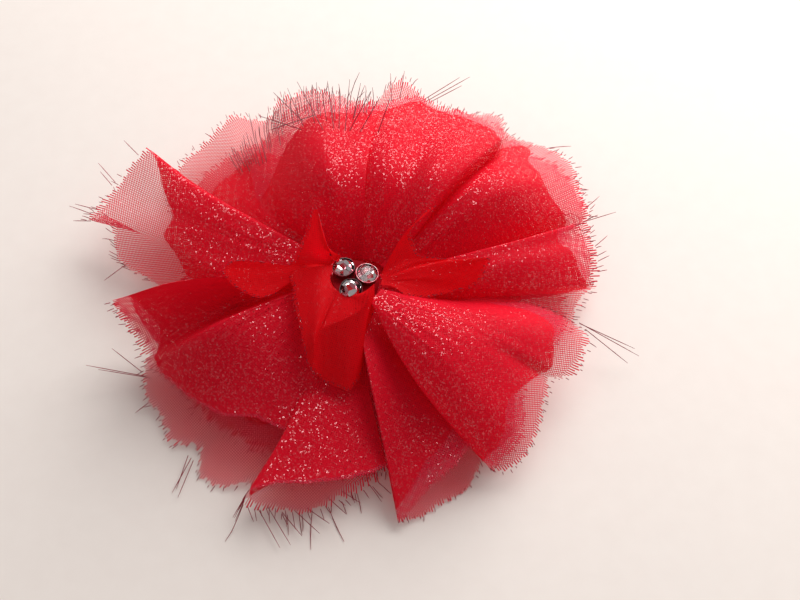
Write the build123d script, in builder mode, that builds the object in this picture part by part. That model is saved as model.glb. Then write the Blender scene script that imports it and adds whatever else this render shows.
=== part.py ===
from build123d import *
import math
import os

# A frayed organza flower on a felt disc, glued to a sprung alligator hair clip.
# Millimetres, +Z up. The origin is on the table, under the middle of the round skirt that
# the flower stands on. The clip runs along X, with its nose at -X and its finger tabs at +X.

# Flower
hub_x, hub_y = 2.5, -3.5        # stitched centre, a little off the middle of the skirt
skirt_radius = 50.0             # organza rounds cut 100 mm across
skirt_ply = 0.8                 # a frayed single ply, with its waviness
lower_skirt = [(0, 10.9), (18, 10.9), (23, 9.4), (33, 3.6), (skirt_radius, 0)]
upper_skirt = [(0, 12.0), (18, 12.0), (24, 10.6), (34, 4.9), (skirt_radius - 2, 2.0)]

petal_root = 3.4                # distance from the hub where the petals' points are sewn
lower_tier, upper_tier = 13.4, 15.6
shoulder = 26.0                 # distance at which a drooping petal starts to fall
shoulder_rise = 0.3             # how far a petal's shoulder is above its point, at least
root_ply, petal_ply = 0.8, 2.2  # folded organza: thin at the point, looser at the rim
inner_root, inner_tier = 5.2, 17.2
inner_ply = 1.5
outline_margin = 4              # degrees that a petal's outline is wider than its folds
tallest = 40

# Each petal: its folds round the rim as (bearing in degrees, distance from hub, height)
lower_petals = {
    "petal_front": [(243, 40, 7), (262, 37, 9), (281, 36, 8)],
    "petal_front_right": [(284, 41, 6.5), (302, 40, 8), (322, 37, 8)],
    "petal_right": [(356, 40, 9), (367, 47, 8), (376, 47, 11), (388, 44, 10)],
    "petal_right_back": [(390, 47, 11), (400, 46, 15), (422, 42, 12)],
    "petal_back_left": [(92, 39, 16), (112, 39, 17), (123, 43, 14), (136, 42, 13)],
}
upper_petals = {
    "petal_right_low": [(308, 41, 12), (328, 41, 11), (341, 43, 9), (354, 43, 12)],
    "petal_back": [(404, 43, 20), (413, 42, 25), (432, 40, 24), (449, 37, 23)],
    "petal_left_high": [(138, 50, 15), (153, 54, 13), (161, 54, 9), (171, 44, 7)],
    "petal_left": [(174, 44, 13), (192, 43, 8), (206, 39, 8), (241, 31, 9)],
}
inner_petals = {
    "inner_petal_left": [(170, 20, 22), (181, 20.5, 21), (194, 17, 19)],
    "inner_petal_front": [(222, 15, 19), (248, 18, 17.5), (282, 15, 20)],
    "inner_petal_right": [(335, 16, 21), (354, 25, 22), (375, 22, 21), (398, 18, 26)],
    "inner_petal_back": [(96, 12, 22), (119, 14, 27), (150, 11, 23)],
}

# Stones in the middle
stone_seat = 19.05
# Each stone: bearing, distance from the hub, outward tilt
stones = {"left": (137, 2.45, 6), "right": (9, 2.3, 8), "front": (262, 2.95, 16)}
stone_radius, table_radius = 1.9, 1.1
crown_height, girdle_depth = 0.8, 0.6
facets = 12
cup_radius, cup_height, cup_wall, cup_floor = 2.06, 0.9, 0.11, 0.2
glue_stem, glue_cap = 2.5, 4.5
thread_ring, thread_radius, thread_height = 2.95, 0.3, 15.0

# Felt and glue
plate_top = 9.0
glue_depth, glue_length, glue_width = 0.4, 24.0, 6.4
felt_radius, felt_depth = 13.0, 1.2
strap_ply, strap_start, strap_length = 0.9, -15.0, 11.0
strap_reach, strap_step, strap_dip = 13.0, 6.5, 4.7

# Alligator clip
steel = 0.5
clip_start, clip_end = -21.0, 21.0
upper_width, lower_width = 8.0, 6.4
pivot_x, pivot_z = 4.0, 5.7
lip_bottom = 7.0
tooth_width, tooth_depth = 1.4, 0.9
lower_line = [(-20.1, 7.9), (-19.9, 6.9), (-4, 4.0), (4, 3.0), (15, 0.25), (clip_end, 0.25)]
ear_radius, ear_foot = 1.5, 5.2
pin_radius, pin_clearance = 0.55, 0.05
head_radius, head_depth = 1.0, 0.4
coil_outer, coil_inner, coil_length = 1.85, 1.15, 3.6
leg_radius = 0.3
leg_offset = 1.45
upper_leg_end, lower_leg_end = (14.0, 8.1), (13.0, 1.45)


def from_hub(distance, bearing, height=0.0):
    """A point at a distance and a bearing from the stitched centre."""
    angle = math.radians(bearing)
    return Vector(
        hub_x + distance * math.cos(angle), hub_y + distance * math.sin(angle), height
    )


def skirt(profile, label):
    """A round of cloth that droops from the clip: its profile turned about the axis."""
    tops = [(radius, height + skirt_ply) for radius, height in reversed(profile)]
    with BuildPart() as cloth:
        with BuildSketch(Plane.XZ):
            Polygon(*profile, *tops, align=None)
        revolve(axis=Axis.Z)
    return save(cloth, label)


def folded_petal(label, rim, root, root_height, ply):
    """A fan of folds, ruled from its point at the hub to its rim, and cut to the rim's outline."""
    bearings = [bearing for bearing, _, _ in rim]
    middle = (bearings[0] + bearings[-1]) / 2
    turns = [math.radians(bearing - middle) for bearing in bearings]
    far = 1 + max(reach * math.cos(turn) for turn, (_, reach, _) in zip(turns, rim))
    stations = [(root, root_ply), (shoulder, (root_ply + ply) / 2), (far, ply)]
    if far < shoulder:
        del stations[1]
    outward = from_hub(1, middle) - from_hub(0, middle)
    across = from_hub(1, middle + 90) - from_hub(0, middle)
    mean = sum(height for _, _, height in rim) / len(rim)
    sections = []
    for distance, depth in stations:
        share = (distance - root) / (far - root)
        crest = root_height + share * (mean - root_height)
        if distance == shoulder:
            crest = max(crest, root_height + shoulder_rise)
        fold_line = []
        for turn, (_, _, height) in zip(turns, rim):
            level = crest + (height - mean) * distance / far
            fold_line.append((distance * math.tan(turn), level))
        upper_line = [(x, z + depth) for x, z in reversed(fold_line)]
        with BuildSketch(Plane(from_hub(distance, middle), x_dir=across, z_dir=outward)) as section:
            Polygon(*fold_line, *upper_line, align=None)
        sections.append(section.sketch)
    with BuildPart() as petal:
        for inner, outer in zip(sections, sections[1:]):
            loft(sections=[inner, outer], ruled=True)
        with BuildSketch(Plane.XY):
            with BuildLine():
                first = from_hub(rim[0][1], bearings[0] - outline_margin)
                last = from_hub(rim[-1][1], bearings[-1] + outline_margin)
                folds = [from_hub(reach, bearing) for bearing, reach, _ in rim]
                edge = Spline(first, *folds, last)
                Polyline(edge @ 1, from_hub(12, middle + 180), edge @ 0)
            make_face()
        extrude(amount=tallest, mode=Mode.INTERSECT)
    return save(petal, label)


def save(builder, label):
    """Label a finished piece and write it as its own STEP file."""
    builder.part.label = label
    export_step(builder.part, f"parts/{label}.step")
    return builder.part


def upper_jaw():
    """Flat glued plate with a toothed lip at the nose and two ears that hold the pin."""
    length = clip_end - clip_start
    with BuildPart() as jaw:
        with BuildSketch(Plane.XY.offset(plate_top - steel)):
            with Locations((clip_start + length / 2, hub_y)):
                RectangleRounded(length, upper_width, 1.5)
        extrude(amount=steel)
        with BuildSketch(Plane.YZ.offset(clip_start + 0.1)):
            with Locations((hub_y, (plate_top + lip_bottom) / 2)):
                Rectangle(upper_width - 3.2, plate_top - lip_bottom)
            with Locations((hub_y, lip_bottom)):
                with GridLocations(2 * tooth_width, 0, 2, 1):
                    Rectangle(tooth_width, 2 * tooth_depth, mode=Mode.SUBTRACT)
        extrude(amount=steel)
        for side in (-1, 1):
            outline = ear(side * (upper_width - steel) / 2, plate_top - steel / 2, pin_radius)
            extrude(outline, amount=steel / 2, both=True)
    return save(jaw, "clip_upper_jaw")


def lower_jaw():
    """Bent jaw: toothed nose, a foot under the pivot, and a finger tab that ends level."""
    with BuildPart() as jaw:
        with BuildSketch(Plane.XZ.offset(-hub_y)):
            with BuildLine():
                Polyline(*lower_line)
            trace(line_width=steel)
        extrude(amount=lower_width / 2, both=True)
        with BuildSketch(Plane.XY):
            with Locations(((clip_start + clip_end) / 2, hub_y)):
                RectangleRounded(clip_end - clip_start, lower_width, 1.4)
        extrude(amount=plate_top, mode=Mode.INTERSECT)
        with BuildSketch(Plane.YZ.offset(clip_start)):
            with Locations((hub_y, lower_line[0][1])):
                with GridLocations(2 * tooth_width, 0, 3, 1):
                    Rectangle(tooth_width, tooth_depth)
        extrude(amount=2, mode=Mode.SUBTRACT)
        for side in (-1, 1):
            offset = side * (lower_width - steel) / 2
            outline = ear(offset, lower_line[3][1], pin_radius + pin_clearance)
            extrude(outline, amount=steel / 2, both=True)
    return save(jaw, "clip_lower_jaw")


def ear(offset, foot_height, hole_radius):
    """One ear's outline: the hull of a round end and a foot in its plate, less the pin hole."""
    with BuildSketch(Plane.XZ.offset(-hub_y - offset)) as outline:
        with Locations((pivot_x, pivot_z)):
            Circle(ear_radius)
        with Locations((pivot_x, foot_height)):
            Rectangle(ear_foot, steel)
        make_hull()
        with Locations((pivot_x, pivot_z)):
            Circle(hole_radius, mode=Mode.SUBTRACT)
    return outline.sketch


def hinge_pin():
    """Pin through all four ears, with both ends peened to heads."""
    half = upper_width / 2
    with BuildPart() as pin:
        with BuildSketch(Plane.XZ.offset(-hub_y)):
            with Locations((pivot_x, pivot_z)):
                Circle(pin_radius)
        extrude(amount=half, both=True)
        for side in (-1, 1):
            with BuildSketch(Plane.XZ.offset(-hub_y + side * half)):
                with Locations((pivot_x, pivot_z)):
                    Circle(head_radius)
            extrude(amount=side * head_depth)
    return save(pin, "hinge_pin")


def torsion_spring():
    """Closed coil round the pin, with one leg under the plate and one on the finger tab."""
    with BuildPart() as spring:
        with BuildSketch(Plane.XZ.offset(-hub_y)):
            with Locations((pivot_x, pivot_z)):
                Circle(coil_outer)
                Circle(coil_inner, mode=Mode.SUBTRACT)
        extrude(amount=coil_length / 2, both=True)
        mean = (coil_outer + coil_inner) / 2
        legs = ((leg_offset, mean, upper_leg_end), (-leg_offset, -mean, lower_leg_end))
        for offset, rise, end in legs:
            start = Vector(pivot_x, hub_y + offset, pivot_z + rise)
            tip = Vector(end[0], hub_y + offset, end[1])
            with BuildLine() as leg:
                Line(start, tip)
            with BuildSketch(Plane(start, z_dir=tip - start)):
                Circle(leg_radius)
            sweep(path=leg.line)
    return save(spring, "torsion_spring")


def felt_and_glue():
    """Glue on the plate, the felt disc over it, and the felt strap under the plate."""
    glue_top = plate_top + glue_depth
    with BuildPart() as glue:
        with BuildSketch(Plane.XY.offset(plate_top)):
            with Locations((hub_x, hub_y)):
                SlotOverall(glue_length, glue_width)
        extrude(amount=glue_depth)
    save(glue, "glue_pad")
    with BuildPart() as disc:
        with BuildSketch(Plane.XY.offset(glue_top)):
            with Locations((hub_x, hub_y)):
                Circle(felt_radius)
        extrude(amount=felt_depth)
        fillet(disc.edges().filter_by(GeomType.CIRCLE), 0.3)
    save(disc, "felt_disc")
    high = glue_top - strap_ply / 2 - 0.05
    low = plate_top - steel - strap_ply / 2 - 0.05
    line = [
        (hub_y + side * reach, height)
        for side, reach, height in (
            (-1, strap_reach, high), (-1, strap_step, high), (-1, strap_dip, low),
            (1, strap_dip, low), (1, strap_step, high), (1, strap_reach, high),
        )
    ]
    with BuildPart() as strap:
        with BuildSketch(Plane.YZ.offset(strap_start)):
            with BuildLine():
                Polyline(*line)
            trace(line_width=strap_ply)
        extrude(amount=strap_length)
    save(strap, "felt_strap")


def centre():
    """Glue that holds the petals' points and the stones, and the stitching round it."""
    stem_bottom = upper_skirt[0][1] + skirt_ply + 0.1
    with BuildPart() as glue:
        with BuildSketch(Plane.XY.offset(stem_bottom)):
            with Locations((hub_x, hub_y)):
                Circle(glue_stem)
        extrude(amount=inner_tier - stem_bottom)
        with BuildSketch(Plane.XY.offset(inner_tier)):
            with Locations((hub_x, hub_y)):
                Circle(glue_cap)
        extrude(amount=stone_seat - inner_tier - 0.1, taper=20)
    save(glue, "centre_glue")
    with BuildPart() as thread:
        with BuildSketch(Plane.XZ.offset(-hub_y)):
            with Locations((hub_x + thread_ring, thread_height)):
                Circle(thread_radius)
        revolve(axis=Axis((hub_x, hub_y, 0), (0, 0, 1)))
    save(thread, "gather_thread")


def rhinestone(name, bearing, distance, tilt):
    """A faceted stone and the metal cup it is set in, leaning outwards from the hub."""
    outward = from_hub(1, bearing) - from_hub(0, bearing)
    lean = Vector(0, 0, 1) * math.cos(math.radians(tilt)) + outward * math.sin(math.radians(tilt))
    lift = cup_radius * math.sin(math.radians(tilt))
    seat = Plane(from_hub(distance, bearing, stone_seat + lift), z_dir=lean)
    with BuildPart() as cup:
        with BuildSketch(seat):
            Circle(cup_radius)
        extrude(amount=cup_height)
        with BuildSketch(seat.offset(cup_floor)):
            Circle(cup_radius - cup_wall)
        extrude(amount=cup_height, mode=Mode.SUBTRACT)
    save(cup, f"setting_{name}")
    girdle = seat.offset(cup_floor + girdle_depth)
    with BuildPart() as stone:
        with BuildSketch(girdle):
            RegularPolygon(stone_radius, facets)
        extrude(amount=-girdle_depth)
        with BuildSketch(girdle):
            RegularPolygon(stone_radius, facets)
        with BuildSketch(girdle.offset(crown_height)):
            RegularPolygon(table_radius, facets)
        loft()
    save(stone, f"rhinestone_{name}")


os.makedirs("parts", exist_ok=True)

upper_jaw()
lower_jaw()
hinge_pin()
torsion_spring()
felt_and_glue()
skirt(lower_skirt, "skirt_lower")
skirt(upper_skirt, "skirt_upper")
for petal_name, petal_rim in lower_petals.items():
    folded_petal(petal_name, petal_rim, petal_root, lower_tier, petal_ply)
for petal_name, petal_rim in upper_petals.items():
    folded_petal(petal_name, petal_rim, petal_root, upper_tier, petal_ply)
for petal_name, petal_rim in inner_petals.items():
    folded_petal(petal_name, petal_rim, inner_root, inner_tier, inner_ply)
centre()
for stone_name, placing in stones.items():
    rhinestone(stone_name, *placing)
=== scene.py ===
import math
import random

import bpy
import numpy as np
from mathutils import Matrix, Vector, noise


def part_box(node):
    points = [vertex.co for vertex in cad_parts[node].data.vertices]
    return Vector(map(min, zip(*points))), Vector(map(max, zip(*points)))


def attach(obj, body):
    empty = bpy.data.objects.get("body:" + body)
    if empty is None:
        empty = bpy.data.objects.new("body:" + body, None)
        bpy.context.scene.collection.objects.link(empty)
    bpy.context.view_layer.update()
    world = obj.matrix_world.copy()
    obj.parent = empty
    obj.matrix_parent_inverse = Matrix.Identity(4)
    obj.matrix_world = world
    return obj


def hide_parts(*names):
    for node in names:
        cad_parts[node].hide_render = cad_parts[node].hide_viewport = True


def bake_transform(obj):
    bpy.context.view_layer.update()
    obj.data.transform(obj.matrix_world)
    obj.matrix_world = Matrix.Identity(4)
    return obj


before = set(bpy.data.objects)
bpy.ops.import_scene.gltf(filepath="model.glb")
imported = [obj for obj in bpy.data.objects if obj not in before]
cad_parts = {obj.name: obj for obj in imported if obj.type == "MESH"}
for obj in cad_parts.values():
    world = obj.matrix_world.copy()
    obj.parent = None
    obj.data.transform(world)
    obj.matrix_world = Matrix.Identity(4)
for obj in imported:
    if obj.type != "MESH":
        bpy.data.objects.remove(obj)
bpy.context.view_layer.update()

# Everything is in metres. Lengths in the tables below are in millimetres, from the hub, which
# is the stitched middle of the flower, and bearings are in degrees, anticlockwise from +X.
MM = 0.001
glue_low, glue_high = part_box("centre_glue")
HUB = np.array([(glue_low[0] + glue_high[0]) / 2, (glue_low[1] + glue_high[1]) / 2, 0.0])


# ---------------------------------------------------------------- petals: where each fold lies

# Each sheet is ((first, last, distance, height), folds). The first part is where its sewn end
# lies: an arc round the hub, from one bearing to another. Each fold is a line of the cloth from
# the sewn end to the rim: ((bearing, distance, height) of the rim, the same for a place halfway,
# width of the sheer border, mark). The mark is "C" for a sharp fold, "E" for one that is sharp
# only at the rim, and "R" where the cloth bends sharply at the halfway place.
PETALS = {
    "petal_left_high": ((120, 150, 5, 16), [
        ((168, 37, 1), (175, 22, 11.2), 15, ""),
        ((164, 49, 3), (170, 26, 11.3), 17, ""),
        ((157, 54, 7.5), (165, 30, 11.7), 18, ""),
        ((160, 57, 9), (159, 32, 12.6), 17, "E"),
        ((153, 55, 11), (154, 35, 13.8), 15, ""),
        ((145, 54, 14), (149, 37, 15.2), 9, ""),
        ((142, 53, 15), (144, 36, 16), 1.5, "C"),
        ((141, 54, 12), (142, 36, 13.6), 2, ""),
        ((141, 51, 8), (140, 34, 10.5), 4, ""),
        ((141, 45, 6), (139, 31, 9), 6, ""),
    ]),
    "petal_left": ((150, 235, 5, 16), [
        ((190, 40, 2), (181, 23, 11.5), 2, ""),
        ((184, 43, 8), (178, 26, 15), 2, ""),
        ((183, 45, 15), (182, 29, 20.5), 4, "C"),
        ((185, 44, 10), (181, 28, 16), 5, ""),
        ((190, 42, 7), (183, 26, 12.3), 5, ""),
        ((194, 41, 6.5), (188, 24, 11.6), 3, ""),
        ((197, 40, 6.8), (199, 24, 17.8), 1, "C"),
        ((204, 37, 7), (204, 25, 17), 0, ""),
        ((220, 33, 7.5), (216, 20.5, 15), 0, ""),
        ((232, 29, 8.5), (226, 18.7, 13.6), 0, ""),
        ((244, 28, 8.5), (237, 17.7, 12.5), 0, ""),
        ((255, 28, 8.5), (248, 16.9, 11.8), 0, ""),
    ]),
    "petal_front": ((225, 275, 5, 12), [
        ((281, 32, 6.5), (279, 20, 9.8), 0, ""),
        ((268, 34, 7), (268, 21, 10.3), 0, ""),
        ((256, 36, 7.5), (255, 22, 10.8), 0, ""),
        ((244, 39.5, 6.8), (246, 24, 10.6), 0, ""),
        ((243, 42, 2.2), (245, 27, 9.5), 2, "C"),
        ((249, 40, 1), (252, 25, 6.5), 8, ""),
        ((257, 39, 0.8), (258, 25, 6), 9, ""),
        ((266, 36, 0.8), (264, 24, 6), 8, ""),
        ((278, 33, 1.5), (275, 23, 6), 5, ""),
    ]),
    "petal_front_right": ((275, 320, 5, 16), [
        ((310, 35, 8), (320, 16.8, 12), 5, ""),
        ((295, 37, 6), (299, 16.9, 13.5), 4, ""),
        ((281, 41, 1.5), (279, 19.4, 14.5), 2, "C"),
        ((290, 40, 0.5), (291, 21, 8.5), 6, ""),
        ((301, 39, 0.5), (303, 22, 8.5), 6, ""),
        ((310, 37, 1), (314, 22, 8.5), 4, ""),
    ]),
    "petal_right_low": ((300, 332, 5.5, 19.5), [
        ((337, 35, 2), (322, 20, 10.5), 2, ""),
        ((322, 39, 2), (313, 20, 11), 2, ""),
        ((309, 39, 2.5), (300, 23, 15.5), 2, "C"),
        ((310, 41, 4), (306, 24, 18), 4, ""),
        ((316, 42, 5), (312, 24, 19.3), 6, ""),
        ((324, 41, 6.5), (318, 23.5, 20), 8, ""),
        ((333, 40, 7.5), (324, 23, 20.2), 5, ""),
        ((338, 39, 7.5), (329, 23, 20), 2, "E"),
        ((341, 43, 7), (334, 23, 19.6), 5, ""),
        ((348, 44, 8), (339, 23, 18.9), 7, ""),
        ((353, 43, 8.5), (344, 23, 17.9), 7, ""),
        ((356, 38, 10), (348, 22, 16.6), 5, ""),
        ((361, 32, 9.5), (352, 21, 14.8), 6, ""),
        ((366, 27, 9), (357, 17.9, 13), 5, ""),
    ]),
    "petal_right": ((350, 385, 5, 17), [
        ((368, 41, 3), (358, 21, 11), 3, ""),
        ((367, 47, 7), (363, 28, 13), 2, "C"),
        ((370, 47, 9), (367, 28, 15.5), 4, ""),
        ((374, 47, 11), (370, 28, 16.5), 5, ""),
        ((377, 46, 12), (374, 28, 17), 6, ""),
        ((380, 45, 14), (377, 28, 17.5), 4, "C"),
        ((382, 44, 8), (379, 26, 13), 3, ""),
    ]),
    "petal_right_back": ((380, 412, 7.5, 14), [
        ((385, 48, 5), (382, 30, 11), 3, ""),
        ((385, 51, 8), (386, 32, 15), 6, ""),
        ((391, 52, 9), (390, 32, 19), 10, ""),
        ((397, 54, 10), (393, 31, 21.5), 12, ""),
        ((402, 53, 11), (397, 30, 22.5), 10, ""),
        ((405, 51, 12), (400, 28, 22.5), 3, ""),
        ((408, 48, 14), (405, 27, 20), 3, ""),
        ((411, 47, 12), (408, 26, 15), 3, ""),
    ]),
    "petal_back": ((35, 95, 8, 13), [
        ((49, 43, 13), (48, 27, 13), 3, ""),
        ((48, 44, 19), (43, 22, 25), 2, "C"),
        ((54, 47, 18.5), (47, 22.5, 26.8), 5, ""),
        ((61, 45, 18), (53, 22, 26.8), 2, ""),
        ((70, 45, 17.5), (60, 21.5, 24.5), 2, ""),
        ((75, 46, 17), (66, 22, 24.4), 2, ""),
        ((81, 44, 16.5), (73, 21, 25.2), 3, ""),
        ((87, 43, 16), (80, 21, 24.6), 4, ""),
        ((91, 43, 15.5), (86, 20.5, 23.4), 4, ""),
        ((94, 43, 14.5), (91, 20.5, 22), 3, ""),
    ]),
    "petal_back_left": ((80, 130, 8, 13), [
        ((84, 42, 17.8), (84, 20.5, 24.9), 3, ""),
        ((93, 41, 19), (95, 19, 25.5), 4, ""),
        ((100, 42, 19), (105, 19.1, 25.5), 5, ""),
        ((106, 43, 18), (114, 20, 23), 7, ""),
        ((111, 43, 16), (120, 21, 19.5), 9, ""),
        ((115, 42, 13), (126, 22, 16), 10, ""),
        ((121, 43, 9), (130, 24, 12.5), 13, ""),
        ((131, 43, 5), (136, 25, 11), 13, ""),
    ]),
}

INNER_PETALS = {
    "inner_petal_left": ((145, 175, 6, 19), [
        ((172, 15, 21), (171, 12, 20.5), 1, ""),
        ((174, 21, 21.5), (173, 13, 20.5), 0, ""),
        ((177, 23, 20.8), (176, 13, 20.2), 0, ""),
        ((185, 22, 20), (181, 12.8, 19.6), 0, ""),
        ((193, 17.8, 19), (185, 11.8, 19), 0, ""),
        ((189, 13.7, 18.6), (184, 11.4, 18.8), 0, ""),
        ((176, 16, 19.2), (174, 10.3, 19.3), 0, ""),
    ]),
    "inner_petal_front": ((150, 292, 4.3, 20.2), [
        ((175, 11.6, 19.8), (166, 6.7, 20.6), 0, ""),
        ((204, 11.6, 19.3), (198, 7, 20.6), 0, ""),
        ((227, 13.7, 18.6), (222, 8.4, 20.3), 0, ""),
        ((238, 16.2, 17.4), (237, 11.9, 19.6), 0, ""),
        ((246, 18.1, 15.5), (243, 15, 18.6), 0, "R"),
        ((252, 18.3, 13.6), (243, 12.5, 19.6), 0, "R"),
        ((258, 18.6, 13), (249, 10.9, 20), 0, "R"),
        ((266, 19.2, 12.8), (260, 9.7, 20.6), 0, "R"),
        ((270, 18.7, 12.8), (270, 8.7, 21), 0, "R"),
        ((275, 16, 13.2), (283, 7.9, 21.6), 0, "R"),
        ((279, 11.4, 14.5), (300, 6.4, 22.6), 0, "R"),
        ((309, 5.7, 16), (317, 5.1, 22.8), 0, "R"),
    ]),
    "inner_petal_right": ((345, 372, 5, 19), [
        ((342, 9.5, 18.3), (347, 7.4, 18.8), 0, ""),
        ((348, 13.6, 17), (352, 9.3, 18.4), 0, ""),
        ((356, 18.5, 16.5), (358, 11.9, 18.2), 0, ""),
        ((360, 22, 17), (361, 13.7, 18.5), 0, ""),
        ((365, 24, 18.5), (365, 14.9, 19), 0, ""),
        ((368, 25, 20.5), (371, 15.4, 20), 0, "C"),
        ((370, 21, 19.7), (373, 13.2, 19.2), 0, ""),
        ((374, 16, 19.7), (375, 10.8, 19.6), 0, ""),
        ((380, 12.6, 20.5), (381, 9.2, 20), 0, ""),
        ((396, 12.4, 22.5), (387, 8.5, 21), 0, "C"),
        ((399, 16.3, 25), (394, 10, 23), 0, ""),
        ((397, 18.7, 26), (395, 10.8, 23.5), 0, ""),
    ]),
    "inner_petal_back": ((120, 155, 4.7, 20), [
        ((167, 11.8, 19.3), (161, 7.3, 20), 0, ""),
        ((156, 11.1, 21.3), (154, 7, 21), 0, ""),
        ((140, 10.7, 25), (148, 6.7, 23), 0, ""),
        ((125, 11.6, 28.5), (141, 6.3, 24.6), 0, "C"),
        ((132, 8.4, 26), (144, 5.4, 23.5), 0, ""),
        ((147, 4.9, 22), (142, 4.6, 21), 0, ""),
        ((132, 3.8, 20), (134, 3.7, 20), 0, ""),
    ]),
}

# Skirts: (bearing, distance, height) of the rim, all the way round.
SKIRTS = {
    "skirt_upper": [
        (8, 46, 3), (18, 49, 5), (28, 52, 7), (36, 53, 8), (45, 51, 9), (53, 52, 8), (60, 52, 8),
        (67, 52, 9), (73, 50, 10), (80, 53, 13), (86, 49, 11), (92, 50, 9), (98, 53, 9),
        (108, 54, 8), (113, 52, 6), (119, 55, 6), (126, 54, 5), (137, 53, 3), (145, 48, 2),
        (153, 38, 3), (168, 35, 4), (185, 36, 3), (210, 35, 2), (240, 32, 2), (270, 30, 2),
        (300, 30, 2), (330, 31, 2), (350, 37, 2),
    ],
    "skirt_lower": [
        (0, 40, 1), (30, 48, 3), (60, 48, 4), (90, 46, 5), (120, 49, 3), (143, 46, 1),
        (155, 35, 3), (168, 33, 4), (182, 35, 3), (193, 41, 2), (201, 42, 1.5), (209, 41, 1),
        (216, 42, 0.6), (222, 39, 0.8), (228, 42, 0.6), (234, 41, 0.8), (241, 37, 1),
        (255, 33, 0.6), (275, 31, 1), (300, 31, 0.6), (330, 33, 1), (350, 36, 1),
    ],
}

# Each skirt starts at a small ring round the hub: the ring's height, and how long the skirt's
# loose threads are. The rest of a fringe's values are those of FRINGES, below.
SKIRT_RINGS = {"skirt_lower": (11.2, 1.3), "skirt_upper": (12.4, 1.5)}
SKIRT_RING = 2
SKIRT_BORDER = 13
SKIRT_FRINGE = (1.1, 0, 0, 0.05)

# The skirts bend down at this distance, once they have dropped this far. At the front they do
# it nearer to the hub and a little lower.
BEND_DISTANCE, BEND_DROP = 24, 0.8
FRONT_PULL, FRONT_DROP = 9, 0.1

# How far the cloth's soft waves stand out.
SKIRT_RIPPLE, PETAL_RIPPLE, INNER_RIPPLE = 0.8, 0.5, 0.25

# Loose threads of each petal: (length, spacing, lean and rise in degrees, share of long ones,
# where on the rim they start and end, from 0 to 1, and how far inside the rim they come loose,
# if they do).
FRINGES = {
    "petal_left_high": (1.9, 1.0, 8, 0, 0.14, 0.10, 0.62),
    "petal_left": (1.4, 1.6, -10, 0, 0.06, 0.15, 0.6),
    "petal_front": (3.6, 0.8, 24, 0, 0.08, 0.46, 1.0),
    "petal_front_right": (0.8, 1.1, 0, 0, 0.0, 0.45, 1.0),
    "petal_right_low": (0.8, 1.2, 0, 0, 0.02, 0.15, 0.95),
    "petal_right": (2.4, 1.0, 10, 0, 0.10, 0.35, 0.8),
    "petal_right_back": (2.2, 1.0, 0, 0, 0.10, 0.0, 0.7),
    "petal_back": (1.2, 1.6, 0, 10, 0.05, 0.1, 0.9),
    "petal_back_left": (3.6, 0.62, -10, 24, 0.10, 0.03, 0.92, 8),
}
INNER_FRINGE = (0.5, 0.6, 0, 0, 0.05)

# How deep the comb of threads along a raw rim is, and the petals where it differs.
COMB_DEPTH = 2.6
COMB_DEPTHS = {"petal_front": 3.4, "petal_back_left": 5.0, "petal_front_right": 1.6}

# Long stray threads: (bearing, distance, height) of both ends.
STRAYS = {
    "skirt_lower": [
        ((196, 42, 3), (193, 51, 7)), ((197, 41, 3), (194, 49, 6)), ((195, 42, 4), (190, 46, 7)),
        ((222, 41, 1), (226, 46, 0.5)), ((223, 41, 1), (226, 47, 0.5)),
        ((224, 41, 1), (228, 47, 1)),
    ],
    "petal_left_high": [
        ((157, 56, 9), (158, 60, 10)), ((152, 55, 12), (151, 58, 13)),
        ((151, 55, 12), (150, 59, 14)), ((144, 54, 14), (144, 57, 16)),
        ((160, 56, 9), (161, 59, 9)), ((165, 48, 3), (169, 51, 2)),
    ],
    "petal_right_low": [
        ((355, 43, 8), (352, 54, 3)), ((355, 43, 8), (353, 53, 4)), ((354, 44, 7), (350, 52, 3)),
    ],
    "petal_front": [
        ((246, 41, 1), (254, 46, 1)), ((248, 40, 1), (256, 45, 1)), ((252, 40, 1), (258, 43, 1)),
        ((255, 39, 1), (262, 42, 1)), ((258, 38, 1), (264, 40, 1)), ((262, 35, 1), (268, 38, 1)),
        ((267, 34, 1), (272, 36, 1)),
    ],
    "petal_back_left": [
        ((104, 34, 23), (104, 40, 25.5)), ((102, 36, 23), (101, 41, 25.5)),
        ((98, 32, 23), (98, 41, 25.5)), ((94, 31, 23), (92, 41, 25.5)),
        ((91, 34, 23), (89, 40, 25.5)), ((92, 31, 23), (86, 38, 25.5)),
        ((88, 31, 23), (83, 37, 25.5)), ((82, 31, 23), (80, 37, 25.5)),
        ((108, 34, 23), (109, 41, 25.5)), ((105, 35, 23), (121, 33, 25.5)),
        ((110, 33, 23), (120, 37, 25.5)), ((108, 35, 23), (113, 41, 25.5)),
        ((96, 32, 23), (95, 39, 25.5)), ((100, 34, 23), (100, 39, 25.5)),
        ((102, 32, 23), (106, 42, 25.5)),
    ],
    "petal_back": [
        ((73, 45, 17), (67, 52, 18)), ((72, 45, 17), (65, 53, 18)), ((71, 45, 17), (66, 51, 17)),
        ((82, 47, 13), (83, 52, 15)), ((80, 48, 13), (80, 53, 15)),
    ],
}


# ---------------------------------------------------------------- cloth

ROWS = 37  # points of each line of cloth, from its sewn end to its rim
LEAST_COLUMNS = 30
PETAL_CELL = 0.6 * MM  # distance between two lines along the rim
SKIRT_CELL = 0.9 * MM
SAMPLES_PER_FOLD = 40
CORNER_TIGHTNESS = 0.85  # how much of a smooth curve's run-out a sharp corner takes away
LOWEST = 0.3 * MM  # the cloth stays this far above the table
TINY = 1e-12

# While it is smoothed, a line of cloth is a row of values: the sewn end, the place halfway, the
# rim, the width of the border, and whether it bends sharply halfway.
PLACES, HALFWAY, RIM = slice(0, 9), slice(3, 6), slice(6, 9)
BORDER, BEND, VALUES = 9, 10, 11

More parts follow.
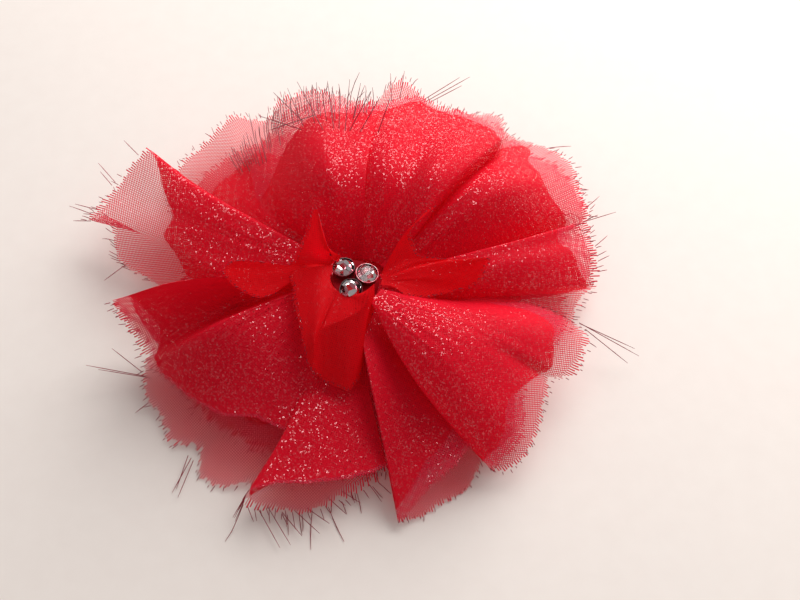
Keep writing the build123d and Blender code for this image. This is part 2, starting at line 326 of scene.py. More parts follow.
# Waves of the ragged rim: (seed, length, depth).
RIM_WAVES = ((40, 1.1, 0.3), (41, 5, 0.5))
WAVE_LENGTH = 9 * MM
GATHER_LENGTH, GATHER_DEPTH = 2.4 * MM, 0.35
PUFFS_PER_METRE, PUFF_DEPTH = 75, 0.9
COMB_WAVE = 6 * MM

THREAD_PITCH = 0.38 * MM
THREAD_RADIUS = 0.08 * MM
THREAD_TIP = 0.5  # radius of a thread's end, as a share of its own
STRAY_SHARES = (-0.1, 0.3, 0.7, 1.0)

# Clumps of loose threads sway together, by up to so many degrees. The rest is how one thread
# differs from the next: (least, most) of a length or spacing, (middle, spread) of an angle or
# curl.
CLUMP_SPACING, CLUMP_SWAY = 3.2 * MM, 30
SPACINGS, LENGTHS, LONG_LENGTHS = (0.5, 1.6), (0.35, 1.15), (1.8, 3.2)
SWAYS, LIFTS = (0, 7), (2, 8)
SIDE_CURLS, UP_CURLS = (0, 0.08), (-0.04, 0.06)
ROOT_DEPTH, ROOT_SHIFTS = 0.8, (-0.2, 0.2)
INSETS, CLEARANCES = (0.3, 1.1), (0.4, 1.0)


def from_hub(bearing, distance, height):
    """A point in metres, from a bearing in degrees and millimetres."""
    angle = math.radians(bearing)
    step = np.array([distance * math.cos(angle), distance * math.sin(angle), height])
    return HUB + step * MM


def hermite(values, corners, count):
    """A smooth curve through rows of values, sharp where a corner is 1: one for each row, or
    one for each value. Gives count rows."""
    values = np.asarray(values, float)
    tangents = np.zeros_like(values)
    tangents[1:-1] = (values[2:] - values[:-2]) / 2
    tangents[0] = values[1] - values[0]
    tangents[-1] = values[-1] - values[-2]
    tangents *= 1 - CORNER_TIGHTNESS * np.asarray(corners, float).reshape(len(values), -1)
    places = np.linspace(0, len(values) - 1, count)
    first = np.minimum(places.astype(int), len(values) - 2)
    f = (places - first)[:, None]
    a, b = values[first], values[first + 1]
    ta, tb = tangents[first], tangents[first + 1]
    return (
        (2 * f**3 - 3 * f**2 + 1) * a + (f**3 - 2 * f**2 + f) * ta
        + (3 * f**2 - 2 * f**3) * b + (f**3 - f**2) * tb
    )


def run_along(points):
    """How far along a line each of its points lies."""
    steps = np.linalg.norm(np.diff(points, axis=0), axis=1)
    return np.concatenate([[0], np.cumsum(steps)])


def spread_evenly(rows, count, places):
    """The same rows with the points in these columns evenly spaced."""
    run = run_along(rows[:, places])
    even = np.linspace(0, run[-1], count)
    return np.stack([np.interp(even, run, rows[:, i]) for i in range(rows.shape[1])], axis=1)


def wander(seed, places, scale):
    """A smooth uneven value between about -1 and 1 at each place."""
    return np.array([noise.noise(Vector((p / scale, seed * 7.31, 0.5))) for p in places])


def outline_area(outline):
    """The area inside a closed outline."""
    x, y = outline[:, 0], outline[:, 1]
    return abs(float((x * np.roll(y, -1) - y * np.roll(x, -1)).sum())) / 2


def meet(a, b, from_a, from_b):
    """The place to the left of the line from a to b, at these distances from its two ends."""
    span = b - a
    gap = max(float(np.linalg.norm(span)), 1e-9)
    along = (from_a**2 - from_b**2 + gap**2) / (2 * gap)
    aside = math.sqrt(max(from_a**2 - along**2, 0.0))
    unit = span / gap
    return a + unit * along + np.array([-unit[1], unit[0]]) * aside


def add_mesh(name, vertices, faces, material):
    """A new object in the scene, with one material."""
    mesh = bpy.data.meshes.new(name)
    mesh.from_pydata(vertices, [], faces)
    mesh.materials.append(material)
    piece = bpy.data.objects.new(name, mesh)
    bpy.context.collection.objects.link(piece)
    return piece


def shade_smooth(piece):
    for polygon in piece.data.polygons:
        polygon.use_smooth = True


class Cloth:
    """A sheet made of lines from its sewn end to its rim, with its flat pattern worked out."""

    def __init__(self, name, lines, seed, ripple, cell):
        """Each line is (sewn end, halfway place, rim, border width, mark), in metres."""
        self.name, self.seed = name, seed
        data = np.array([
            [*end, *halfway, *rim, border, "R" in mark]
            for end, halfway, rim, border, mark in lines
        ])
        sharp_rim = np.zeros(VALUES)
        sharp_rim[RIM] = 1.0
        corners = [
            sharp_rim if "E" in mark else np.full(VALUES, float("C" in mark))
            for *_, mark in lines
        ]
        dense = hermite(data, corners, SAMPLES_PER_FOLD * len(lines))
        columns = max(LEAST_COLUMNS, int(run_along(dense[:, RIM])[-1] / cell))
        dense = spread_evenly(dense, columns, RIM)
        self.border = dense[:, BORDER]
        self.run = run_along(dense[:, RIM])
        outward = dense[:, RIM] - dense[:, HALFWAY]
        outward /= np.linalg.norm(outward, axis=1)[:, None]
        jag = sum(
            wander(seed + shift, self.run, length * MM) * depth
            for shift, length, depth in RIM_WAVES
        )
        dense[:, RIM] += outward * (jag * MM)[:, None]
        points = np.array([
            hermite(row[PLACES].reshape(3, 3), [0, row[BEND], 0], ROWS) for row in dense
        ])
        self.points = self.add_ripples(points, ripple)
        self.points[..., 2] = np.maximum(self.points[..., 2], LOWEST)
        self.lay_flat()

    def add_ripples(self, points, ripple):
        """Soft waves and puffs that grow towards the rim, and gathers that fade away from the
        sewn end."""
        t = np.linspace(0, 1, ROWS)[None, :]
        normal = np.cross(np.gradient(points, axis=0), np.gradient(points, axis=1))
        normal /= np.linalg.norm(normal, axis=2)[..., None] + TINY
        wave = wander(self.seed, self.run, WAVE_LENGTH)[:, None] * t**1.5
        gather = wander(self.seed + 5, self.run, GATHER_LENGTH)[:, None] * (1 - t) ** 2 * t * 4
        shift = Vector((self.seed, 0, 0))
        puff = np.array([
            [noise.noise(Vector(p) * PUFFS_PER_METRE + shift) for p in row] for row in points
        ])
        offset = (wave + GATHER_DEPTH * gather + puff * PUFF_DEPTH * t) * ripple * MM
        return points + normal * offset[..., None]

    def lay_flat(self):
        """Roll the sheet out flat, one strip after another: the cut pattern, in metres.

        Each strip keeps its widths at the rim and at the waist, and its full length. The sewn
        end comes out wider than the arc it is sewn to, which is how much it is gathered."""
        steps = np.linalg.norm(np.diff(self.points, axis=1), axis=2)
        self.reach = np.concatenate(
            [np.zeros((len(steps), 1)), np.cumsum(steps, axis=1)], axis=1
        )
        middle = ROWS // 2
        waist, rim = self.points[:, middle], self.points[:, -1]
        length = self.reach[:, -1] - self.reach[:, middle]
        ends = [(np.zeros(2), np.array([length[0], 0.0]))]
        for i in range(len(rim) - 1):
            low, high = ends[-1]
            straight = float(np.linalg.norm(rim[i + 1] - waist[i + 1]))
            slant = float(np.linalg.norm(rim[i + 1] - waist[i])) * length[i + 1] / straight
            next_high = meet(low, high, slant, float(np.linalg.norm(rim[i + 1] - rim[i])))
            next_low = meet(
                low, next_high, float(np.linalg.norm(waist[i + 1] - waist[i])), length[i + 1]
            )
            ends.append((next_low, next_high))
        low = np.array([end for end, _ in ends])
        high = np.array([end for _, end in ends])
        start = low - (high - low) * (self.reach[:, middle] / length)[:, None]
        share = (self.reach / self.reach[:, -1:])[..., None]
        self.flat = start[:, None] * (1 - share) + high[:, None] * share
        self.area = outline_area(np.concatenate([start, high[::-1]]))

    def flat_size(self):
        """Width, length and area of the flat pattern."""
        x, y = self.flat[..., 0], self.flat[..., 1]
        return float(x.max() - x.min()), float(y.max() - y.min()), self.area

    def build(self, material, grain, comb=COMB_DEPTH):
        """The mesh, with its weave, its distance from the rim and its comb as UV layers."""
        columns = len(self.points)
        index = np.arange(columns * ROWS).reshape(columns, ROWS)
        faces = np.stack([
            index[:-1, :-1], index[1:, :-1], index[1:, 1:], index[:-1, 1:]
        ], axis=-1).reshape(-1, 4)
        piece = add_mesh(
            self.name + "_cloth", self.points.reshape(-1, 3).tolist(), faces.tolist(), material
        )
        c, s = math.cos(math.radians(grain)), math.sin(math.radians(grain))
        weave = self.flat.reshape(-1, 2) @ np.array([[c, -s], [s, c]])
        to_rim = (self.reach[:, -1:] - self.reach).reshape(-1)
        raw = np.clip(self.border / MM, 0, 1) if self.border.max() > 0 else 1.0
        uneven = 0.55 + 0.45 * wander(self.seed + 9, self.run, COMB_WAVE)
        depth = np.repeat(comb * raw * uneven, ROWS)
        for layer, pair in (
            ("weave", weave),
            ("rim", np.column_stack([to_rim, np.repeat(self.border, ROWS)])),
            ("comb", np.column_stack([np.repeat(self.run, ROWS), depth * MM])),
        ):
            uv = piece.data.uv_layers.new(name=layer)
            uv.data.foreach_set("uv", pair[faces.reshape(-1)].astype(np.float32).reshape(-1))
        shade_smooth(piece)
        piece.data.validate()
        return piece

    def fringe(self, material, length, spacing, lean, rise, long_share,
               start=0.0, end=1.0, inset=0):
        """Loose threads that stand out past the rim, clumped and a little curled. With an inset
        they come loose that far inside the rim and lie along the cloth first."""
        rng = random.Random(self.seed * 101 + 7)
        places = []
        place = start * self.run[-1]
        while place < end * self.run[-1]:
            places.append(place)
            place += spacing * MM * rng.uniform(*SPACINGS)
        out = self.points[:, -1] - self.points[:, -3]
        out /= np.linalg.norm(out, axis=1)[:, None]
        along = np.gradient(self.points[:, -1], axis=0)
        along /= np.linalg.norm(along, axis=1)[:, None] + TINY
        paths = [
            [from_hub(*a) * (1 - share) + from_hub(*b) * share for share in STRAY_SHARES]
            for a, b in STRAYS.get(self.name, [])
        ]
        for place in places:
            i = min(int(np.searchsorted(self.run, place)), len(self.run) - 1)
            clump = noise.noise(Vector((place / CLUMP_SPACING, self.seed * 3.7, 2.0)))
            sway = math.radians(lean + CLUMP_SWAY * clump + rng.gauss(*SWAYS))
            lift = math.radians(rise + rng.gauss(*LIFTS))
            way = out[i] * math.cos(sway) + along[i] * math.sin(sway)
            way = way * math.cos(lift) + np.array([0, 0, math.sin(lift)])
            reach = length * rng.uniform(*LENGTHS)
            if rng.random() < long_share:
                reach *= rng.uniform(*LONG_LENGTHS)
            curl = along[i] * rng.gauss(*SIDE_CURLS) + np.array([0, 0, rng.gauss(*UP_CURLS)])
            root = self.points[i, -1] - out[i] * ROOT_DEPTH * MM * rng.random()
            root = root + along[i] * rng.uniform(*ROOT_SHIFTS) * MM
            lying, shares = [], (0, 0.33, 0.66, 1.0)
            if inset:
                depth = self.reach[i, -1] - inset * MM * rng.uniform(*INSETS)
                inner = int(np.searchsorted(self.reach[i], depth))
                above = np.array([0, 0, rng.uniform(*CLEARANCES) * MM])
                lying, shares = [self.points[i, inner] + above], (0.2, 0.6, 1.0)
                root = root + above
            path = lying + [
                root + way * reach * MM * share + curl * reach * MM * share**2
                for share in shares
            ]
            for point in path:
                point[2] = max(point[2], 2 * THREAD_RADIUS)
            paths.append(path)
        return threads(self.name + "_fringe", paths, THREAD_RADIUS, material)


def threads(name, paths, radius, material, sides=3):
    """Many thin tapered tubes as one mesh."""
    vertices, faces = [], []
    for path in paths:
        base = len(vertices)
        last = len(path) - 1
        for k, point in enumerate(path):
            ahead = path[min(k + 1, last)] - path[max(k - 1, 0)]
            ahead = ahead / (np.linalg.norm(ahead) + TINY)
            helper = np.array([0.0, 0.0, 1.0]) if abs(ahead[2]) < 0.9 else np.array([1.0, 0, 0])
            u = np.cross(ahead, helper)
            u /= np.linalg.norm(u)
            v = np.cross(ahead, u)
            thick = radius * (1.0 if k < last else THREAD_TIP)
            for side in range(sides):
                turn = 2 * math.pi * side / sides
                vertices.append(tuple(point + (u * math.cos(turn) + v * math.sin(turn)) * thick))
        for k in range(last):
            for side in range(sides):
                a = base + k * sides + side
                b = base + k * sides + (side + 1) % sides
                faces.append((a, b, b + sides, a + sides))
        faces.append(tuple(base + side for side in reversed(range(sides))))
        faces.append(tuple(base + last * sides + side for side in range(sides)))
    return add_mesh(name, vertices, faces, material)


def petal_cloth(name, seed, ripple):
    """The cloth of one petal from its table rows."""
    (first, last, distance, height), folds = {**PETALS, **INNER_PETALS}[name]
    bearings = [rim[0] for rim, *_ in folds]
    low, high = min(bearings), max(bearings)
    lines = []
    for rim, halfway, border, mark in folds:
        turn = first + (last - first) * (rim[0] - low) / (high - low)
        lines.append((
            from_hub(turn, distance, height), from_hub(*halfway), from_hub(*rim), border * MM, mark
        ))
    return Cloth(name, lines, seed, ripple, PETAL_CELL)


def skirt_cloth(name, seed, level):
    """A skirt: a round sheet from a small ring at the hub, this high, to its rim."""
    rims = SKIRTS[name]
    lines = []
    for bearing, distance, height in [*rims, (rims[0][0] + 360, *rims[0][1:])]:
        front = min(max((-math.sin(math.radians(bearing)) - 0.2) / 0.4, 0.0), 1.0)
        halfway = from_hub(
            bearing, BEND_DISTANCE - FRONT_PULL * front, level - BEND_DROP - FRONT_DROP * front
        )
        lines.append((
            from_hub(bearing, SKIRT_RING, level), halfway,
            from_hub(bearing, distance, height), SKIRT_BORDER * MM, ""
        ))
    return Cloth(name, lines, seed, SKIRT_RIPPLE, SKIRT_CELL)


# ---------------------------------------------------------------- materials

PALE_RED = (0.92, 0.035, 0.085, 1.0)  # one ply of organza, and several
DEEP_RED = (0.92, 0.005, 0.028, 1.0)
PALE_LOBE = (0.90, 0.004, 0.012, 1.0)
DEEP_LOBE = (0.94, 0.002, 0.010, 1.0)
YARN_RED = (0.50, 0.012, 0.045, 1.0)
DARK_YARN_RED = (0.20, 0.004, 0.018, 1.0)

THREAD_SOFTNESS = 0.35  # of the edge of a thread, as a share of its wave
TOOTH_PITCH = THREAD_PITCH * 1.3
COMB_SOFTNESS = 0.25 * MM
HIDDEN_PITCH = THREAD_PITCH * 1.04
HIDDEN_TURN, NEXT_TURN = 0.21, 0.33  # grain of the first hidden ply, and of each one more
BORDER_RAGGEDNESS, BORDER_SOFTNESS = 0.7 * MM, 0.5 * MM
GLINT_CELL, GLINT_LEAN = 0.22 * MM, 0.9
GLINT_LUCK = (0.68, 0.98)  # cells with less than the first don't glint, above the second all do
GLINT_COLOUR = (1.0, 0.72, 0.75, 1.0)
FACET_CELL, FACET_LEAN = 1.0 * MM, 1.1


def shaded(colour, red, green, blue):
    """A colour with its parts multiplied."""
    return colour[0] * red, colour[1] * green, colour[2] * blue, 1.0


class Nodes:
    """A short way to write a node tree."""

    def __init__(self, name):
        self.material = bpy.data.materials.new(name)
        self.material.use_nodes = True
        self.tree = self.material.node_tree
        self.tree.nodes.clear()
        self.output = self.tree.nodes.new("ShaderNodeOutputMaterial")

    def set(self, node, socket, value):
        """Link an input, or give it a number or colour."""
        target = node.inputs[int(socket)] if socket.isdigit() else node.inputs[socket]
        if hasattr(value, "is_output"):
            self.tree.links.new(value, target)
        else:
            target.default_value = value

    def add(self, kind, **inputs):
        node = self.tree.nodes.new("ShaderNode" + kind)
        for key, value in inputs.items():
            self.set(node, key.replace("_", " "), value)
        return node

    def math(self, operation, a, b=0.0, clamp=False):
        node = self.add("Math")
        node.operation = operation
        node.use_clamp = clamp
        self.set(node, "0", a)
        self.set(node, "1", b)
        return node.outputs[0]

    def vector_math(self, operation, first, second=None, scale=None):
        node = self.add("VectorMath")
        node.operation = operation
        for socket, value in (("0", first), ("1", second), ("Scale", scale)):
            if value is not None:
                self.set(node, socket, value)
        return node.outputs[0]

    def smooth(self, value, low, high):
        """0 below low, 1 above high, and smooth between."""
        node = self.add("MapRange")
        node.interpolation_type = "SMOOTHSTEP"
        for socket, given in (("0", value), ("1", low), ("2", high)):
            self.set(node, socket, given)
        return node.outputs[0]

    def uv(self, layer):
        """A UV layer, and its two parts."""
        node = self.add("UVMap")
        node.uv_map = layer
        split = self.add("SeparateXYZ", Vector=node.outputs[0])
        return node.outputs[0], split.outputs[0], split.outputs[1]

    def place(self):
        return self.add("TexCoord").outputs["Object"]

    def noise(self, scale, place=None, **inputs):
        """A noise value at each place: on the piece itself, unless a place is given."""
        if place is None:
            place = self.place()
        return self.add("TexNoise", Vector=place, Scale=scale, **inputs).outputs[0]

    def mix_colour(self, share, a, b):
        node = self.add("Mix")
        node.data_type = "RGBA"
        for socket, value in (("0", share), ("6", a), ("7", b)):
            self.set(node, socket, value)
        return node.outputs[2]

    def mix_shaders(self, share, first, second):
        node = self.add("MixShader", Fac=share)
        self.set(node, "1", first.outputs[0])
        self.set(node, "2", second.outputs[0])
        return node

    def finish(self, shader):
        self.set(self.output, "0", shader.outputs[0])
        return self.material


def stripes(n, place, pitch, cover):
    """How solid the threads of one direction are: a soft wave once every pitch."""
    wave = n.math("SINE", n.math("MULTIPLY", place, 2 * math.pi / pitch))
    edge = math.cos(math.pi * cover)
    return n.smooth(wave, edge - THREAD_SOFTNESS, edge + THREAD_SOFTNESS)


def crossed(n, u, v, angle, pitch, cover):
    """How open one ply is: the gaps between threads in two directions, turned by an angle."""
    c, s = math.cos(angle), math.sin(angle)
    a = n.math("ADD", n.math("MULTIPLY", u, c), n.math("MULTIPLY", v, s))
    b = n.math("SUBTRACT", n.math("MULTIPLY", v, c), n.math("MULTIPLY", u, s))
    gap_a = n.math("SUBTRACT", 1.0, stripes(n, a, pitch, cover))
    gap_b = n.math("SUBTRACT", 1.0, stripes(n, b, pitch, cover))
    return n.math("MULTIPLY", gap_a, gap_b)


def comb_out(n, solid, to_rim):
    """Along the raw rim the threads that ran beside it have come out, which leaves a comb."""
    _, run, depth = n.uv("comb")
    tooth = stripes(n, run, TOOTH_PITCH, 0.5)
    in_comb = n.math(
        "SUBTRACT", 1.0, n.smooth(n.math("SUBTRACT", to_rim, depth), 0.0, COMB_SOFTNESS)
    )
    lengths = n.add("TexWhiteNoise")
    lengths.noise_dimensions = "1D"
    n.set(lengths, "W", n.math("FLOOR", n.math("MULTIPLY", run, 1 / TOOTH_PITCH)))
    ends = n.math("MULTIPLY", n.math("MULTIPLY", lengths.outputs[0], depth), 0.9)
    tooth = n.math("MULTIPLY", tooth, n.math("GREATER_THAN", to_rim, ends))
    away = n.math("MULTIPLY", in_comb, n.math("SUBTRACT", solid, tooth))
    return n.math("SUBTRACT", solid, away, clamp=True)


def leaning_normal(n, cells, strength):
    """Each cell leans its own way, so that only a few catch the light."""
    away = n.vector_math("SUBTRACT", cells.outputs["Color"], (0.5, 0.5, 0.5))
    lean = n.vector_math("SCALE", away, scale=strength)
    total = n.vector_math("ADD", n.add("NewGeometry").outputs["Normal"], lean)
    return n.vector_math("NORMALIZE", total)


def cloth_material(name, plies, cover, pale, deep, comb, glint, glow):
    """Sheer woven cloth: see-through between its threads, denser where it is folded double."""
    n = Nodes(name)
    weave, u, v = n.uv("weave")
    _, to_rim, border = n.uv("rim")
    gap = crossed(n, u, v, 0.0, THREAD_PITCH, cover)
    hidden_gap = 1.0
    for ply in range(plies - 1):
        under = crossed(n, u, v, HIDDEN_TURN + NEXT_TURN * ply, HIDDEN_PITCH, cover)
        hidden_gap = n.math("MULTIPLY", hidden_gap, under)
    ragged = n.noise(500.0, weave, Detail=2.0)
    inner_rim = n.math("ADD", border, n.math("MULTIPLY", ragged, BORDER_RAGGEDNESS))
    folded = n.smooth(n.math("SUBTRACT", to_rim, inner_rim), 0.0, BORDER_SOFTNESS)
    closing = n.math("MULTIPLY", folded, n.math("SUBTRACT", 1.0, hidden_gap))
    solid = n.math("SUBTRACT", 1.0, n.math("MULTIPLY", gap, n.math("SUBTRACT", 1.0, closing)))
    if comb:
        solid = comb_out(n, solid, to_rim)
    tone = n.noise(90.0, weave, Detail=4.0)
    shadow = shaded(deep, 0.55, 0.4, 0.5)
    shade = n.mix_colour(folded, pale, deep)
    shade = n.mix_colour(n.math("MULTIPLY", tone, 0.3), shade, shadow)
    shade = n.mix_colour(n.math("MULTIPLY", gap, 0.35), shade, shadow)
    matte = n.add("BsdfPrincipled", Base_Color=shade, Roughness=0.7, Specular_IOR_Level=0.12)
    through = n.add("BsdfTranslucent", Color=shade)
    both = n.mix_shaders(glow, matte, through)
    cells = n.add("TexVoronoi", Vector=n.place(), Scale=1 / GLINT_CELL)
    gloss = n.add(
        "BsdfAnisotropic", Color=GLINT_COLOUR, Roughness=0.14,
        Normal=leaning_normal(n, cells, GLINT_LEAN),
    )
    split = n.add("SeparateColor", Color=cells.outputs["Color"])
    lucky = n.smooth(split.outputs[0], *GLINT_LUCK)
    glinting = n.mix_shaders(n.math("MULTIPLY", lucky, glint), both, gloss)
    return n.finish(n.mix_shaders(solid, n.add("BsdfTransparent"), glinting))


def thread_material(name, colour):
    """Loose yarn: darker than the cloth, with a little shine."""
    n = Nodes(name)
    shade = n.mix_colour(n.noise(2500.0), colour, shaded(colour, 0.5, 0.6, 0.6))
    shader = n.add("BsdfPrincipled", Base_Color=shade, Roughness=0.5)
    through = n.add("BsdfTranslucent", Color=shade)
    return n.finish(n.mix_shaders(0.3, shader, through))


def felt_material():
    """Matted fibres: uneven, rough and a little soft at the edges."""
    n = Nodes("felt")
    fibre = n.noise(1400.0, Detail=6.0, Roughness=0.7)
    clouds = n.noise(160.0, Detail=3.0)
    shade = n.mix_colour(fibre, (0.30, 0.006, 0.012, 1), (0.62, 0.02, 0.035, 1))
    shade = n.mix_colour(n.math("MULTIPLY", clouds, 0.4), shade, (0.22, 0.004, 0.01, 1))
    bump = n.add("Bump", Strength=0.9, Distance=0.0003, Height=fibre)
    return n.finish(n.add(
        "BsdfPrincipled", Base_Color=shade, Roughness=0.95, Normal=bump.outputs[0],
        Sheen_Weight=0.4,
    ))


def steel_material(name, tone, rough):
    """Nickel-plated steel with fine drawn lines and a few dull spots."""
    n = Nodes(name)
    stretch = n.add("Mapping", Vector=n.place(), Scale=(120.0, 3000.0, 3000.0))
    lines = n.noise(1.0, stretch.outputs[0], Detail=4.0)
    spots = n.noise(420.0, Detail=5.0)
    bright = (tone, tone, tone * 1.02, 1)
    shade = n.mix_colour(spots, bright, (tone * 0.8, tone * 0.79, tone * 0.77, 1))
    spread = n.math("ADD", n.math("MULTIPLY", lines, 0.18), rough)
    bump = n.add("Bump", Strength=0.12, Distance=0.00005, Height=lines)
    return n.finish(n.add(
        "BsdfPrincipled", Base_Color=shade, Roughness=spread, Normal=bump.outputs[0],
        Metallic=1.0,
    ))


def glue_material():
    """Set glue, painted dark red so that it shows as the shade between the stones, with a slightly
    lumpy skin.
    """
    n = Nodes("glue")
    clouds = n.noise(300.0, Detail=3.0)
    # Painted shade: both reds are kept dark so that the glue between the stones reads as shadow.
    shade = n.mix_colour(clouds, (0.36, 0.002, 0.008, 1), (0.20, 0.001, 0.005, 1))
    bump = n.add("Bump", Strength=0.3, Distance=0.0002, Height=clouds)
    return n.finish(n.add(
        "BsdfPrincipled", Base_Color=shade, Roughness=0.8, Normal=bump.outputs[0],
        Specular_IOR_Level=0.1,
    ))


def stone_material():
    """Cut glass on a foil back: each facet mirrors its own part of the room. The glass's pink and
    the red of many facets are painted reflection of the red cloth round the stone.
    """
    n = Nodes("stone")
    haze = n.noise(700.0, Detail=3.0)
    # The glass's pink is painted reflection of the red cloth.
    glass = n.add(
        "BsdfPrincipled", Base_Color=(1.0, 0.72, 0.76, 1), IOR=1.6, Transmission_Weight=1.0,
        Roughness=n.math("MULTIPLY", haze, 0.06),
    )
    facets = n.add("TexVoronoi", Vector=n.place(), Scale=1 / FACET_CELL)
    split = n.add("SeparateColor", Color=facets.outputs["Color"])
    # Painted reflection: many facets are tinted red for the red cloth they would reflect, and the
    # clear ones mirror the room as it is.
    clear_ones = n.smooth(split.outputs[2], 0.35, 0.65)
    mirror_and_painted_red_tint = n.mix_colour(clear_ones, (0.86, 0.26, 0.32, 1), (0.97, 0.92, 0.92, 1))
    mirror = n.add(
        "BsdfAnisotropic", Color=mirror_and_painted_red_tint, Roughness=0.04,
        Normal=leaning_normal(n, facets, FACET_LEAN),
    )
    return n.finish(n.mix_shaders(0.6, glass, mirror))


def foil_material():
    """The cup behind a stone: dark nickel, with patches of red painted on for the red cloth it
    reflects.
    """
    n = Nodes("setting")
    spots = n.noise(900.0, Detail=4.0)
    # Painted reflection: patches of red stand for the cloth that the cup reflects through the
    # stone.
    red_reflection_patches = n.smooth(spots, 0.4, 0.6)
    shade = n.mix_colour(red_reflection_patches, (0.26, 0.20, 0.20, 1), (0.34, 0.05, 0.07, 1))
    spread = n.math("ADD", n.math("MULTIPLY", spots, 0.2), 0.22)
    return n.finish(n.add("BsdfPrincipled", Base_Color=shade, Roughness=spread, Metallic=1.0))


def floor_material():
    """A pale table top with a faint grain."""
    n = Nodes("floor")
    grain = n.noise(260.0, Detail=5.0)
    shade = n.mix_colour(grain, (0.88, 0.80, 0.75, 1), (0.84, 0.755, 0.705, 1))
    return n.finish(n.add(
        "BsdfPrincipled", Base_Color=shade, Roughness=0.85, Specular_IOR_Level=0.2
    ))


# ---------------------------------------------------------------- the flower

organza = cloth_material(
    "organza", plies=3, cover=0.37, pale=PALE_RED, deep=DEEP_RED, comb=True, glint=0.10, glow=0.34
)
skirt_organza = cloth_material(
    "skirt_organza", plies=2, cover=0.34, pale=PALE_RED, deep=DEEP_RED, comb=True, glint=0.02,
    glow=0.44,
)
chiffon = cloth_material(
    "chiffon", plies=3, cover=0.45, pale=PALE_LOBE, deep=DEEP_LOBE, comb=False, glint=0.008,
    glow=0.45,
)
yarn = thread_material("yarn", YARN_RED)
dark_yarn = thread_material("dark_yarn", DARK_YARN_RED)

# The first seed of each kind of sheet.
PETAL_SEED, INNER_SEED, SKIRT_SEED = 1, 31, 51

WIRE_RADIUS = 0.3 * MM
WIRE_GAP = 0.05 * MM
WIRE_SIDES = 10
SPRING_TURNS, SPRING_STEPS = 4.5, 150
LEG_SHIFT = 1.0 * MM


def hand_over(name, cloth, piece, fringe):
    """Put a sheet and its loose threads on the flower's body, and hide the sheet's CAD part."""
    for made in (piece, fringe):
        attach(made, "flower")
    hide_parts(name)
    width, length, area = cloth.flat_size()


def make_skirts():
    for index, (name, (level, length)) in enumerate(SKIRT_RINGS.items()):
        cloth = skirt_cloth(name, SKIRT_SEED + index, level)
        piece = cloth.build(skirt_organza, 30 + 40 * index)
        fringe = cloth.fringe(yarn, length, *SKIRT_FRINGE)
        hand_over(name, cloth, piece, fringe)


def make_petals():
    for index, name in enumerate(PETALS):
        cloth = petal_cloth(name, PETAL_SEED + index, PETAL_RIPPLE)
        grain = 17 * index % 90
        piece = cloth.build(organza, grain, COMB_DEPTHS.get(name, COMB_DEPTH))
        colour = dark_yarn if name == "petal_back_left" else yarn
        fringe = cloth.fringe(colour, *FRINGES[name])
        hand_over(name, cloth, piece, fringe)


def make_inner_petals():
    for index, name in enumerate(INNER_PETALS):
        cloth = petal_cloth(name, INNER_SEED + index, INNER_RIPPLE)
        piece = cloth.build(chiffon, 20 + 25 * index)
        fringe = cloth.fringe(yarn, *INNER_FRINGE)
        hand_over(name, cloth, piece, fringe)


def make_spring():
    """The spring is wound wire: a leg, four and a half turns round the pin, and another leg."""
    pin_low, pin_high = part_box("hinge_pin")
    low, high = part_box("torsion_spring")
    pivot = [(pin_low[axis] + pin_high[axis]) / 2 for axis in range(3)]
    bend = pivot[0] - low[0] - WIRE_RADIUS
    top, bottom = high[1] - WIRE_RADIUS - WIRE_GAP, low[1] + WIRE_RADIUS + WIRE_GAP
    path = [np.array([high[0] - WIRE_RADIUS, top, high[2] - WIRE_RADIUS])]
    for step in range(SPRING_STEPS + 1):
        angle = math.pi / 2 + 2 * math.pi * SPRING_TURNS * step / SPRING_STEPS
        path.append(np.array([
            pivot[0] + bend * math.cos(angle),
            top + (bottom - top) * step / SPRING_STEPS,
            pivot[2] + bend * math.sin(angle),
        ]))
    path.append(np.array([high[0] - WIRE_RADIUS - LEG_SHIFT, bottom, low[2] + WIRE_RADIUS]))
    steel = steel_material("wire_steel", tone=0.45, rough=0.3)
    wire = threads("spring_wire", [path], WIRE_RADIUS, steel, WIRE_SIDES)
    shade_smooth(wire)
    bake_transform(wire)
    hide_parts("torsion_spring")


def paint_cad_nodes():
    """Materials for the parts that stay as their CAD solids."""
    sides = ("left", "right", "front")
    for node, material in (
        ("felt_disc", felt_material()), ("felt_strap", felt_material()),
        ("glue_pad", glue_material()), ("centre_glue", glue_material()),
        ("clip_upper_jaw", steel_material("clip_steel", tone=0.62, rough=0.22)),
        ("clip_lower_jaw", steel_material("clip_steel_lower", tone=0.62, rough=0.22)),
        ("hinge_pin", steel_material("pin_steel", tone=0.55, rough=0.28)),
        ("gather_thread", yarn),
        *((f"rhinestone_{side}", stone_material()) for side in sides),
        *((f"setting_{side}", foil_material()) for side in sides),
    ):
        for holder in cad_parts[node].material_slots:
            holder.material = material


# ---------------------------------------------------------------- stage, light and camera

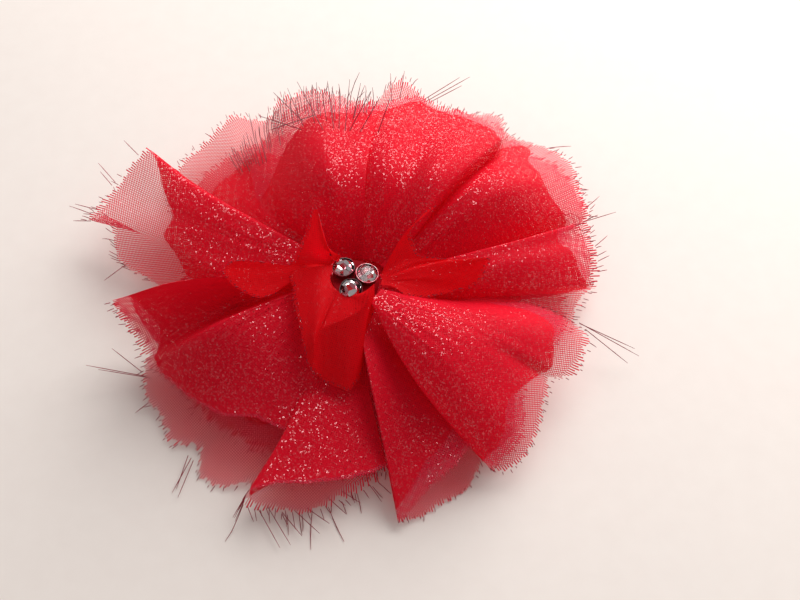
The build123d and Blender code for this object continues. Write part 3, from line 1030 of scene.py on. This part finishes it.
FLOOR_REACH = 3.0
ROOM_COLOUR, ROOM_LIGHT = (1.0, 0.99, 0.98, 1), 0.41
LAMP_PLACE = (0.21, 0.335, 0.27)
LAMP_COLOUR, LAMP_SIZE, LAMP_POWER = (1.0, 0.995, 0.985), 0.50, 3.5

VIEW_ELEVATION = math.radians(60)
VIEW_DISTANCE = 0.230
VIEW_MIDDLE = Vector((0.0108, 0.0022, 0.0013))
SENSOR_WIDTH, LENS = 36.0, 52.8
NEAR_LIMIT = 0.01


def make_stage():
    corners = [(-1, -1), (1, -1), (1, 1), (-1, 1)]
    floor = add_mesh(
        "floor", [(x * FLOOR_REACH, y * FLOOR_REACH, 0) for x, y in corners], [(0, 1, 2, 3)],
        floor_material(),
    )


def make_light():
    """Pale light from all round, and one large lamp low behind the flower to the right."""
    world = bpy.data.worlds.new("studio")
    world.use_nodes = True
    background = world.node_tree.nodes["Background"]
    background.inputs[0].default_value = ROOM_COLOUR
    background.inputs[1].default_value = ROOM_LIGHT
    bpy.context.scene.world = world
    data = bpy.data.lights.new("window", "AREA")
    data.shape = "DISK"
    data.size = LAMP_SIZE
    data.energy = LAMP_POWER
    data.color = LAMP_COLOUR
    lamp = bpy.data.objects.new("window", data)
    lamp.location = LAMP_PLACE
    lamp.rotation_euler = (-Vector(LAMP_PLACE)).to_track_quat("-Z", "Y").to_euler()
    bpy.context.collection.objects.link(lamp)


def make_camera():
    """The photo's view: from the front, looking down at 60 degrees."""
    data = bpy.data.cameras.new("camera")
    data.sensor_width = SENSOR_WIDTH
    data.lens = LENS
    data.clip_start = NEAR_LIMIT
    camera = bpy.data.objects.new("camera", data)
    back = Vector((0, -math.cos(VIEW_ELEVATION), math.sin(VIEW_ELEVATION)))
    camera.location = VIEW_MIDDLE + back * VIEW_DISTANCE
    camera.rotation_euler = (-back).to_track_quat("-Z", "Y").to_euler()
    bpy.context.collection.objects.link(camera)
    bpy.context.scene.camera = camera


make_skirts()
make_petals()
make_inner_petals()
make_spring()
paint_cad_nodes()
make_stage()
make_light()
make_camera()
bpy.context.scene.view_settings.view_transform = "Standard"
